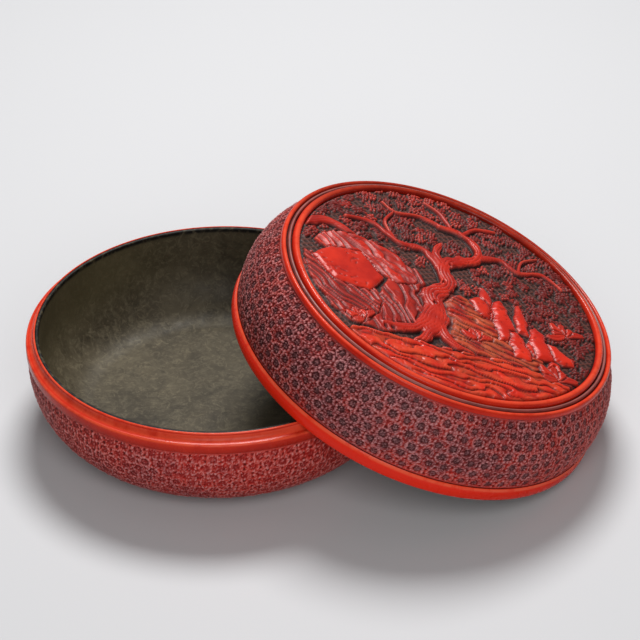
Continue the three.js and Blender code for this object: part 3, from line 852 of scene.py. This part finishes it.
def leaf_knobs(regions, seed):
    """Rosettes of small knobs strewn over round regions: place, radius, rise and tone of each knob."""
    rng = np.random.default_rng(seed)
    centres, knobs = [], []
    for x, y, wide, high in np.array(regions) / 100:
        for _ in range(int(1400 * wide * high) + 4):
            turn, reach = rng.uniform(0, FULL_TURN), math.sqrt(rng.random())
            spot = np.array([x + wide * reach * math.cos(turn), y + high * reach * math.sin(turn)])
            spot = spot * PICTURE_RADIUS
            rise, tone, spin = rng.uniform(0.35, 0.95), rng.uniform(0.0, 0.75), rng.uniform(0, 2)
            if any(np.hypot(*(spot - other)) < LEAF_SPACING for other in centres):
                continue
            centres.append(spot)
            # Painted shade: the knobs are darker towards the right of the picture.
            tone *= 1 - 0.8 * smooth(0.2, 0.8, x)
            for ring, count in LEAF_RINGS:
                for i in range(count):
                    way = spin + FULL_TURN * i / count
                    far = ring * rng.uniform(0.88, 1.12)
                    if ring > 2 and rng.random() < 0.3:
                        continue
                    knobs.append((spot[0] + far * math.cos(way), spot[1] + far * math.sin(way),
                                  rng.uniform(0.66, 0.86), rise * (1 - 0.1 * ring) * rng.uniform(0.85, 1.1),
                                  tone * rng.uniform(0.7, 1.3)))
    return np.array(knobs)


class Carving:
    """The picture's height, tone and warmth, laid on form by form from back to front; its tone carries
    painted shade as well. A form's level is a share of the highest relief."""

    def __init__(self, x, y):
        self.x, self.y = x, y
        self.height = self.diaper()
        self.tone, self.warm = np.zeros(x.shape), np.zeros(x.shape)
        self.wood = np.zeros(x.shape, bool)

    def diaper(self):
        """The ground: a fine net of lozenges."""
        u, v = (self.x + self.y * 1.3) / LOZENGE, (self.x - self.y * 1.3) / LOZENGE
        line = np.maximum(np.abs(u % 1 - 0.5), np.abs(v % 1 - 0.5)) * 2
        return 0.05 + 0.35 * smooth(0.55, 0.75, line) + 0.3 * smooth(0.35, 0.15, line)

    def near(self, places, margin):
        """The points within a margin of the places' box: their numbers and their own places."""
        low, high = places.min(0) - margin, places.max(0) + margin
        spots = np.flatnonzero((self.x > low[0]) & (self.x < high[0])
                               & (self.y > low[1]) & (self.y < high[1]))
        return spots, self.x[spots], self.y[spots]

    def lay(self, spots, depth, height, tone, moat, warm=0.0, joined=False, wood=False):
        """Lays a form: depth is the distance into it, and a moat is cut round it. A joined one melts in, and
        wood grows out of wood."""
        cut = smooth(-moat, -moat * 0.35, depth) * smooth(0.15, -0.05, depth)
        over = smooth(-0.1, 0.25, depth)
        higher = height > self.height[spots]
        if joined:
            cut = cut * (self.height[spots] < 0.6 * HIGH_RELIEF)
            over = over * higher
        if wood:
            grown = self.wood[spots]
            cut = cut * ~grown
            over = over * (~grown | higher)
        self.wood[spots] = np.where(depth > 0, wood, self.wood[spots])
        self.height[spots] *= 1 - 0.8 * cut
        for field, value in ((self.height, height), (self.tone, tone), (self.warm, warm)):
            field[spots] = field[spots] * (1 - over) + value * over

    def limb(self, places, wide, narrow, level, tone, bark=1.0, joined=False):
        """A trunk, branch or root with furrowed bark."""
        line = spline(spread(places), 7)
        wide, narrow = wide / 100, narrow / 100
        spots, x, y = self.near(line, wide * PICTURE_RADIUS + 1.0)
        distance, share, side = nearest(x, y, line)
        half = (wide + (narrow - wide) * share) * PICTURE_RADIUS / 2
        half = half * (0.7 + 0.6 * patchy(x, y, 4.0, 3))
        across = np.clip(distance / np.maximum(half, 0.1), 0, 1)
        round_top = np.sqrt(np.maximum(1 - across ** 2, 0))
        walk = share * np.hypot(*np.diff(line, axis=0).T).sum()
        ripple = patchy(walk / 2.4, side * across * 2, 2.6, 11)
        furrow = np.abs(np.sin((distance * side / 1.9 + ripple * 1.3) * math.pi))
        dip = smooth(0.45, 0.05, furrow) * smooth(0.7, 2.2, half) * bark
        height = HIGH_RELIEF * level * (0.5 + 0.5 * round_top - 0.3 * dip)
        moat = 0.6 + 0.12 * wide * PICTURE_RADIUS
        # The tone is darker in the furrows: painted shade.
        self.lay(spots, half - distance, height, tone * (1 - 0.45 * dip), moat, joined=joined, wood=True)

    def knot(self, place, radius):
        """A ring of bark round a sunk scar, radius in millimetres."""
        centre = spread([place])
        spots, x, y = self.near(centre, radius * 1.5)
        distance = np.hypot(x - centre[0, 0], (y - centre[0, 1]) * 0.75) / radius
        self.height[spots] += 0.5 * bell(distance - 0.85, 0.2) - smooth(0.75, 0.35, distance)

    def ledges(self, places, towards, pitch, sway, level, tone, seed, warm=0.0):
        """Layered rock inside an outline: each ledge climbs one way to a sharp lip, then drops."""
        outline = spline(spread(places), 4, True)
        spots, x, y = self.near(outline, 2.0)
        depth = depth_inside(x, y, outline) + (rough_patches(x, y, 7.0, seed) - 0.5) * 4.0
        turn = math.radians(towards)
        along, forth = x * math.cos(turn) + y * math.sin(turn), y * math.cos(turn) - x * math.sin(turn)
        bend = (patchy(along / 1.6, forth / 3.2, 4.5, seed + 5)
                + 0.45 * patchy(along / 1.2, forth / 2.2, 2.2, seed + 6))
        walk = along / pitch + (bend - 0.7) * sway
        step = np.floor(walk).astype(int)
        share = walk - step
        luck = np.random.default_rng(seed).random(256)[step % 256]
        lip = smooth(0.0, 0.75, share) * smooth(1.0, 0.93, share)
        lines = np.abs(np.sin((share * 1.5 + patchy(along, forth / 4, 3.0, seed + 8)) * FULL_TURN))
        cut = smooth(0.55, 0.15, lines)
        shape = 0.4 + 0.42 * lip + 0.18 * luck - 0.1 * cut
        # Painted shade: darker at the foot of each ledge and in its cut lines.
        shade = tone * (0.55 + 0.45 * lip) * (0.8 + 0.2 * luck) * (1 - 0.35 * cut)
        self.lay(spots, depth, HIGH_RELIEF * level * shape, shade, 0.9, warm)

    def foliage(self, knobs):
        """Small round knobs, with the ground left open between them."""
        finder = KDTree(len(knobs))
        for i, knob in enumerate(knobs):
            finder.insert((knob[0], knob[1], 0), i)
        finder.balance()
        found = np.array([finder.find((x, y, 0))[1:] for x, y in zip(self.x, self.y)])
        spots = np.flatnonzero(found[:, 1] < 1.3)
        index, distance = found[spots].T
        radius, rise, tone = knobs[index.astype(int), 2:].T
        dome = np.sqrt(np.clip(1 - (distance / radius) ** 2, 0, 1))
        knob = HIGH_RELIEF * (0.2 + 0.75 * rise * (0.35 + 0.65 * dome)) * smooth(0, 0.35, dome)
        self.height[spots] = np.where(dome > 0, knob, 0.1)
        # Painted shade at the knobs' edges and in the gaps between them.
        self.tone[spots] = tone * smooth(0.2, 0.95, dome)

    def boulder(self, outline, level, tone, seed):
        """A flat-faced stone with a bevelled edge, its outline in millimetres."""
        spots, x, y = self.near(outline, 2.0)
        depth = depth_inside(x, y, outline) + (rough_patches(x, y, 6.0, seed) - 0.5) * 2.8
        bevel = smooth(0.0, 2.4, depth)
        pits = smooth(0.72, 0.86, patchy(x, y, 1.3, seed + 3))
        pits = pits * smooth(0.5, 0.64, patchy(x, y, 8.0, seed + 4))
        tilt = 0.12 * (patchy(x, y, 13.0, seed + 5) - 0.5)
        height = HIGH_RELIEF * level * (0.68 + 0.32 * bevel + tilt) - 0.35 * pits
        # Painted shade in the pits.
        self.lay(spots, depth, height, tone * (1 - 0.4 * pits), 0.5)

    def pillar(self, foot, tip, width, level, tone, seed):
        """A standing rock, knobbly and tapering from its foot to its tip."""
        foot, tip = np.array(foot) / 100, np.array(tip) / 100
        step = tip - foot
        across = np.array([-step[1], step[0]]) / np.hypot(*step) * (width / 100)
        sides = ((0.0, 0.5), (0.25, 0.42), (0.5, 0.54), (0.75, 0.34), (0.92, 0.3),
                 (1.0, -0.05), (0.8, -0.4), (0.55, -0.34), (0.3, -0.54), (0.0, -0.5))
        outline = np.array([foot + step * share + across * side for share, side in sides])
        self.boulder(outline * PICTURE_RADIUS, level, tone, seed)

    def leaves(self, foot, length, width, start, sweep, count, level, tone=0.8):
        """A fan of veined leaves, angles in degrees."""
        foot, length, width = np.array(foot) / 100, length / 100, width / 100
        for i in range(count):
            turn = math.radians(start + sweep * i / (count - 1))
            reach = length * (0.8 + 0.2 * math.cos(i * 2.4))
            tip = foot + reach * np.array([math.cos(turn), math.sin(turn)])
            bow = np.array([-math.sin(turn), math.cos(turn)]) * reach * 0.12
            line = spline(np.array([foot, (foot + tip) / 2 + bow, tip]) * PICTURE_RADIUS, 6)
            spots, x, y = self.near(line, width * PICTURE_RADIUS)
            distance, share = nearest(x, y, line)[:2]
            half = width * PICTURE_RADIUS / 2 * np.sin(np.clip(share, 0.04, 0.98) * math.pi) ** 0.7 + 0.1
            ribs = np.cos((share * 9 - distance * 0.6) * FULL_TURN)
            vein = 0.35 * smooth(0.35, 0.1, distance) + 0.12 * ribs
            height = HIGH_RELIEF * level * (0.88 + 0.12 * (i % 2)) - vein
            self.lay(spots, half - distance, height, tone * (0.85 + 0.15 * (i % 2)), 0.6)


def draw_foliage(art):
    """Leaf rosettes over the upper half, and a few below, with thin branches over them."""
    art.foliage(leaf_knobs([
        (-66, 50, 26, 18), (-40, 54, 20, 14), (-46, 76, 24, 12), (-16, 54, 16, 10), (-16, 84, 28, 13),
        (16, 88, 24, 10), (34, 72, 22, 14), (58, 66, 24, 18), (74, 48, 20, 20), (42, 42, 18, 10),
        (26, 32, 12, 10), (-30, 38, 15, 9), (-84, 32, 13, 13), (-58, 26, 16, 8), (86, 28, 8, 14),
        (66, 30, 10, 7), (-88, 6, 9, 10), (92, 4, 6, 12), (76, 12, 6, 6), (87, -28, 8, 10),
        (78, -48, 13, 8), (-30, 18, 14, 9), (16, 14, 13, 10), (-88, -32, 8, 8), (2, 52, 8, 7),
        (46, 20, 14, 7), (62, 12, 15, 10), (74, -10, 14, 12), (34, 24, 12, 8), (60, 0, 10, 10)], 21))
    for places, wide, narrow in (
            ([(-98, 16), (-86, 25), (-70, 22), (-58, 8)], 7.5, 5),
            ([(-6, 20), (-20, 34), (-38, 32), (-56, 42), (-74, 38)], 7, 2.5),
            ([(-40, 33), (-48, 48), (-44, 62)], 3.5, 2),
            ([(14, 47), (30, 56), (44, 50), (60, 58), (74, 50)], 6, 2.5),
            ([(44, 51), (46, 64), (56, 74)], 3.5, 2),
            ([(4, 68), (12, 80), (26, 86)], 4.5, 2.5),
            ([(-10, 68), (-26, 70), (-42, 64), (-52, 70)], 4, 2),
            ([(-4, 70), (-12, 82), (-24, 88)], 3.5, 2)):
        art.limb(places, wide, narrow, 0.85, 0.62, 0.5)


def draw_rocks(art):
    """The slope and the strata, the boulder on them, and the standing rocks."""
    # Outline, way the ledges climb, their pitch and sway, level, tone, seed and warmth
    art.ledges([(0, 0), (20, -6), (44, -20), (66, -34), (60, -50), (30, -56), (2, -54), (-6, -30)],
               -96, 3.8, 1.5, 0.8, 0.75, 301, 0.4)
    art.ledges([(-34, 8), (-16, 2), (-10, -30), (-24, -60), (-52, -68), (-64, -54), (-46, -30)],
               -152, 4.6, 1.7, 0.8, 0.65, 321)
    art.ledges([(-90, 0), (-78, 17), (-56, 22), (-34, 14), (-22, -4), (-34, -14), (-50, -10), (-70, -6)],
               56, 4.2, 1.2, 0.95, 0.95, 341)
    art.ledges([(-96, -14), (-80, -20), (-50, -24), (-42, -50), (-56, -70), (-74, -60), (-92, -32)],
               -120, 3.6, 1.2, 0.85, 0.7, 361)
    boulder = spread([(-91, -18), (-80, -2), (-60, 3), (-44, -14), (-50, -34), (-74, -34)])
    art.boulder(boulder, 0.97, 0.85, 61)
    pillars = (((28, -12), (21, 20), 10, 0.85), ((50, -16), (45, 15), 9, 0.85),
               ((42, -30), (32, 10), 14, 0.95), ((54, -20), (86, -28), 16, 0.85),
               ((66, -34), (57, -4), 13, 0.97), ((51, -42), (45, -16), 13, 0.9),
               ((76, -48), (70, -32), 11, 0.85))
    for i, (foot, tip, width, level) in enumerate(pillars):
        art.pillar(foot, tip, width, level, 1.0, 381 + 10 * i)
    art.boulder(spread([(18, -10), (13, 0), (19, 7), (26, 1), (27, -12)]), 0.8, 0.85, 81)


def draw_tree(art):
    """The trunk, the arched branch and a broken one, the roots and the knots."""
    tone = 0.72
    art.limb([(-10, -48), (-6, -30), (-12, -12), (-2, 6), (-6, 24), (4, 38)], 17, 8.5, 1.0, tone)
    art.limb([(2, 34), (15, 46), (14, 60), (2, 68), (-12, 67)], 8.5, 3.5, 1.0, tone)
    art.limb([(-4, 20), (-12, 34), (-10, 47)], 8, 4, 1.0, tone, joined=True)
    for places, wide in (([(-9, -26), (-13, -42), (-22, -54), (-40, -60)], 14),
                         ([(-8, -30), (-9, -46), (-13, -60), (-22, -72)], 13),
                         ([(-7, -26), (-4, -42), (5, -54), (20, -58)], 12)):
        art.limb(places, wide, 4, 0.97, tone, joined=True)
    for place, radius in (((-9, -20), 2.0), ((-5, 6), 1.7), ((-2, 27), 1.4), ((14, 50), 1.2)):
        art.knot(place, radius)


def draw_bank(art):
    """The bank in front, and fans of leaves."""
    art.ledges([(-60, -78), (-40, -70), (-10, -64), (20, -56), (50, -50), (76, -52), (84, -60), (60, -86),
                (30, -100), (0, -104), (-30, -100)], -82, 5.4, 1.7, 1.0, 1.4, 441, 0.2)
    # Foot, length and width of the leaves, first angle and sweep, count, level and tone
    art.leaves((74, -50), 16, 6, 20, 160, 5, 0.8)
    art.leaves((20, -40), 12, 5, 30, 130, 4, 0.9, 0.9)
    art.leaves((-52, -64), 13, 5, 60, 150, 5, 0.8)
    art.leaves((78, 0), 15, 5.5, 30, 180, 6, 0.75)


def round_grid():
    """The picture's points: a square grid drawn round."""
    side = np.linspace(-1, 1, PICTURE_POINTS)
    a, b = np.meshgrid(side, side)
    wide = np.abs(a) >= np.abs(b)
    far = np.where(wide, a, b)
    turn = np.where(wide, b, a) / far * math.pi / 4
    x = PICTURE_RADIUS * far * np.where(wide, np.cos(turn), np.sin(turn))
    y = PICTURE_RADIUS * far * np.where(wide, np.sin(turn), np.cos(turn))
    return x, y


def picture_map(piece, faces, total):
    """The picture's map: its face, a strip above it for the side, and a small disc for the back."""
    face_top, strip_low, strip_rise, disc_middle, disc_radius = 0.97, 0.975, 0.004, (0.5, 0.99), 0.008
    across, up = np.linspace(0, 1, PICTURE_POINTS), np.linspace(0, face_top, PICTURE_POINTS)
    face = np.stack(np.meshgrid(across, up), axis=2).reshape(-1, 2)
    ring = np.arange(total)
    low, after = (np.stack([marks / total, np.full(total, strip_low)], axis=1) for marks in (ring, ring + 1))
    side = np.stack([low, after, after + [0, strip_rise], low + [0, strip_rise]], axis=1)
    turn = ring / total * FULL_TURN
    disc = disc_middle + disc_radius * np.stack([np.cos(turn), np.sin(turn)], axis=1)
    bake_map(piece, np.vstack([face[faces].reshape(-1, 2), side.reshape(-1, 2), disc]))


def make_picture(material):
    """The carved panel: a gnarled tree over rocks and a bank, on a lozenge ground."""
    x, y = round_grid()
    art = Carving(x.ravel(), y.ravel())
    for draw in (draw_foliage, draw_rocks, draw_tree, draw_bank):
        draw(art)
    height = np.clip(art.height.reshape(x.shape), LOWEST, HIGH_RELIEF + 0.2)
    height = height * 0.7 + blurred(height, 1) * 0.3
    height = height * smooth(0.3, 1.6, PICTURE_RADIUS - np.hypot(x, y)) + LOWEST
    # Painted shade in the hollows and painted highlights on the crests, from the height against its blur.
    near, wide = (blurred(height, reach) - height for reach in (2, 6))
    values = {
        "raised": height / HIGH_RELIEF,
        "tone": art.tone,
        "warm": art.warm,
        "painted_shade": np.clip(near * 0.8 + wide * 0.3, 0, 1),
        "crest": np.clip(-near * 1.2, 0, 1),
    }
    points = np.stack([x, y, RELIEF_SEAT + height], axis=2).reshape(-1, 3)
    faces = grid_faces(PICTURE_POINTS, PICTURE_POINTS)
    index = np.arange(len(points)).reshape(x.shape)
    loop = np.concatenate([index[0, :-1], index[:-1, -1], index[-1, :0:-1], index[:0:-1, 0]])
    total = len(loop)
    under = points[loop] * [1, 1, 0] + [0, 0, RELIEF_SEAT - BOND / 2]
    ring = len(points) + np.arange(total)
    wall = np.stack([ring, np.roll(ring, -1), np.roll(loop, -1), loop], axis=1)
    values = {key: np.concatenate([numbers.ravel(), np.zeros(total)]) for key, numbers in values.items()}
    nodes = ["lid_relief_" + form for form in ("tree", "boulder", "bank", "slope", "shrub")]
    points = np.vstack([points, under])
    quads = faces.tolist() + wall.tolist()
    piece = add_piece("lid_picture_carving", "lid", nodes, material, points,
                      quads + [ring[::-1].tolist()], values)
    picture_map(piece, faces, total)


# Studio

def make_floor():
    mesh = bpy.data.meshes.new("studio_floor")
    corners = [(x * FLOOR_REACH, y * FLOOR_REACH, 0) for x, y in ((-1, -1), (1, -1), (1, 1), (-1, 1))]
    mesh.from_pydata(corners, [], [(0, 1, 2, 3)])
    floor = bpy.data.objects.new("studio_floor", mesh)
    bpy.context.scene.collection.objects.link(floor)
    paint = Paint("studio_floor", specular=0.2)
    paint.shader.inputs["Base Color"].default_value = FLOOR_COLOUR
    paint.set("Roughness", FLOOR_ROUGHNESS)
    mesh.materials.append(paint.material)


def make_light():
    world = bpy.data.worlds.new("studio_air")
    world.use_nodes = True
    air = world.node_tree.nodes["Background"].inputs
    air["Color"].default_value = (1, 1, 1, 1)
    air["Strength"].default_value = AIR_STRENGTH
    bpy.context.scene.world = world
    for name, spot, size, power in LAMPS:
        lamp = bpy.data.lights.new(name, "AREA")
        lamp.shape = "DISK"
        lamp.size = size
        lamp.energy = power
        holder = bpy.data.objects.new(name, lamp)
        holder.location = spot
        holder.rotation_euler = (LAMP_AIM - Vector(spot)).to_track_quat("-Z", "Y").to_euler()
        bpy.context.scene.collection.objects.link(holder)


def make_camera():
    lens = bpy.data.cameras.new("camera")
    lens.sensor_width = SENSOR_MM
    lens.lens = LENS_MM
    camera = bpy.data.objects.new("camera", lens)
    camera.location = CAMERA_PLACE
    aim = Vector(CAMERA_AIM).to_track_quat("-Z", "Y").to_matrix().to_4x4()
    camera.rotation_euler = (aim @ Matrix.Rotation(CAMERA_ROLL, 4, "Z")).to_euler()
    bpy.context.scene.collection.objects.link(camera)
    bpy.context.scene.camera = camera


make_camera()
make_floor()
make_light()
smooth_red, dark, foot = plain_red(), dark_lining(), dark_foot()
carved = carved_red()
make_base_wall(carved)
make_lid_wall(carved)
make_base_band(smooth_red)
make_base_flange(smooth_red)
make_base_lining(dark)
make_base_foot(foot)
make_base_underside(foot)
make_lid_band(smooth_red)
make_lid_lining(dark)
make_lid_beads(smooth_red)
make_lid_ground(ground_brown())
make_picture(picture_red())
wood = core_wood()
for core in ("base_core", "lid_core"):
    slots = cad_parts[core].data.materials
    slots.clear()
    slots.append(wood)

bpy.context.scene.view_settings.view_transform = "Standard"
